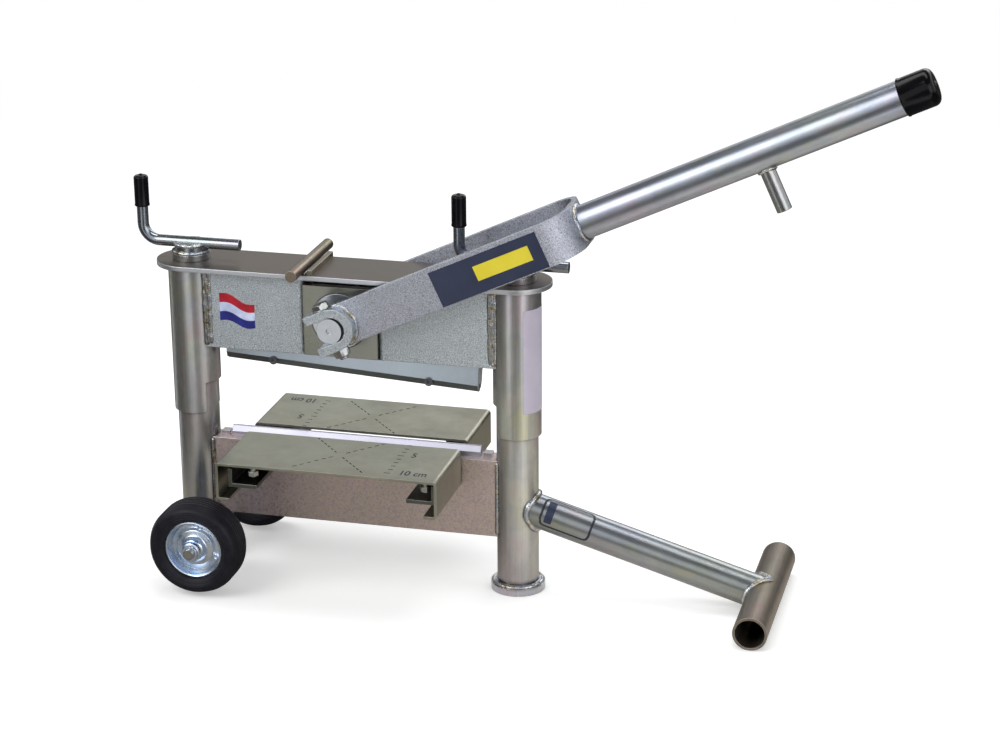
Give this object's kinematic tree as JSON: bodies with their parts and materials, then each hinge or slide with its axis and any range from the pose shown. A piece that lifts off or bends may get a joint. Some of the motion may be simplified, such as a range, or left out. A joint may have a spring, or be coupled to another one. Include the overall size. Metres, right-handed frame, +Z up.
{
  "type": "paving block splitter",
  "caption": "Hand-lever splitter for paving blocks: fixed lower blade with sprung tables, crank-adjusted head and tilting upper blade on an eccentric shaft",
  "frame": {"origin": "middle of the right foot's underside, on the floor", "axes": "+X along the blade towards the lever, +Y to the back, +Z up"},
  "size_m": [0.8399, 0.245, 0.5862],
  "materials": {
    "zinc_tube": "zinc plated and passivated, satin",
    "zinc_plate": "zinc plated over a blasted grain",
    "zinc_small": "zinc plated, satin",
    "beam_steel": "zinc plated, mottled",
    "table_sheet": "zinc plated sheet, satin",
    "blade_steel": "ground steel",
    "dark_steel": "hardened, oiled",
    "rim_zinc": "bright zinc",
    "black_plastic": "moulded",
    "buffer_rubber": "moulded",
    "tyre_rubber": "moulded"
  },
  "bodies": {
    "base": {"left_column": "zinc_tube", "right_column": "zinc_tube", "feet": "zinc_small", "lower_beam": "beam_steel", "lower_blade": "blade_steel", "end_stops": "zinc_small", "strut_tube": "zinc_tube", "cross_tube": "zinc_tube", "axle": "zinc_small", "axle_caps": "zinc_small", "table_brackets": "zinc_plate", "front_buffers": "buffer_rubber", "back_buffers": "buffer_rubber", "buffer_nuts": "zinc_small", "spindle_nuts": "dark_steel"},
    "head": {"top_plate": "zinc_plate", "left_sleeve": "zinc_tube", "right_sleeve": "zinc_tube", "left_front_plate": "zinc_plate", "left_back_plate": "zinc_plate", "right_front_plate": "zinc_plate", "right_back_plate": "zinc_plate", "front_bearing_plate": "zinc_plate", "back_bearing_plate": "zinc_plate", "stop_bar": "zinc_small", "stop_rib": "zinc_small"},
    "left_screw": {"left_crank": "zinc_small", "left_grip": "black_plastic", "left_collar": "zinc_small", "left_spindle": "dark_steel", "left_retainer": "dark_steel"},
    "right_screw": {"right_crank": "zinc_small", "right_grip": "black_plastic", "right_collar": "zinc_small", "right_spindle": "dark_steel", "right_retainer": "dark_steel"},
    "lever": {"fork": "zinc_plate", "fork_yokes": "zinc_plate", "yoke_bolts": "zinc_small", "yoke_nuts": "zinc_small", "lever_tube": "zinc_tube", "lever_cap": "black_plastic", "rest_peg": "zinc_small", "eccentric_shaft": "zinc_small"},
    "press": {"press_yoke": "dark_steel", "pivot_pin": "zinc_small"},
    "blade": {"blade_holder": "blade_steel", "blade_insert": "dark_steel", "blade_screws": "dark_steel"},
    "front_wheel": {"front_tyre": "tyre_rubber", "front_rim": "rim_zinc", "front_bush": "black_plastic"},
    "back_wheel": {"back_tyre": "tyre_rubber", "back_rim": "rim_zinc", "back_bush": "black_plastic"},
    "front_deck": {"front_table": "table_sheet", "front_studs": "zinc_small"},
    "back_deck": {"back_table": "table_sheet", "back_studs": "zinc_small"}
  },
  "joints": [
    {"name": "left_crank_turn", "type": "hinge", "parent": "head", "child": "left_screw", "pos_m": [-0.356, 0, 0.35], "axis": [0, 0, 1], "range_deg": [-5223, 4503]},
    {"name": "head_slide", "type": "slide", "parent": "base", "child": "head", "axis": [0, 0, 1], "range_m": [-0.058, 0.05]},
    {"name": "right_crank_turn", "type": "hinge", "parent": "head", "child": "right_screw", "pos_m": [0, 0, 0.35], "axis": [0, 0, 1], "range_deg": [-32, 32]},
    {"name": "lever_turn", "type": "hinge", "parent": "head", "child": "lever", "pos_m": [-0.186, 0, 0.2925], "axis": [0, -1, 0], "range_deg": [0, 74]},
    {"name": "press_slide", "type": "slide", "parent": "head", "child": "press", "axis": [0, 0, 1], "range_m": [-0.0002, 0.0099]},
    {"name": "blade_tilt", "type": "hinge", "parent": "press", "child": "blade", "pos_m": [-0.178, 0, 0.258], "axis": [0, 1, 0], "range_deg": [-6.9, 0]},
    {"name": "front_wheel_spin", "type": "hinge", "parent": "base", "child": "front_wheel", "pos_m": [-0.3277, -0.093, 0.05445], "axis": [0, 1, 0], "continuous": true},
    {"name": "back_wheel_spin", "type": "hinge", "parent": "base", "child": "back_wheel", "pos_m": [-0.3277, 0.093, 0.05445], "axis": [0, 1, 0], "continuous": true},
    {"name": "front_deck_slide", "type": "slide", "parent": "base", "child": "front_deck", "axis": [0, 0, 1], "range_m": [-0.004, 0], "stiffness_N_per_m": 40000, "springref_m": 0.0005, "deforming": ["front_buffers"]},
    {"name": "back_deck_slide", "type": "slide", "parent": "base", "child": "back_deck", "axis": [0, 0, 1], "range_m": [-0.004, 0], "stiffness_N_per_m": 40000, "springref_m": 0.0005, "deforming": ["back_buffers"]}
  ],
  "couplings": [
    {"joint": "left_crank_turn", "follows": "head_slide", "rad_per_m": 1570.8},
    {"joint": "press_slide", "follows": "lever_turn", "m_per_rad": 0.0074555}
  ]
}
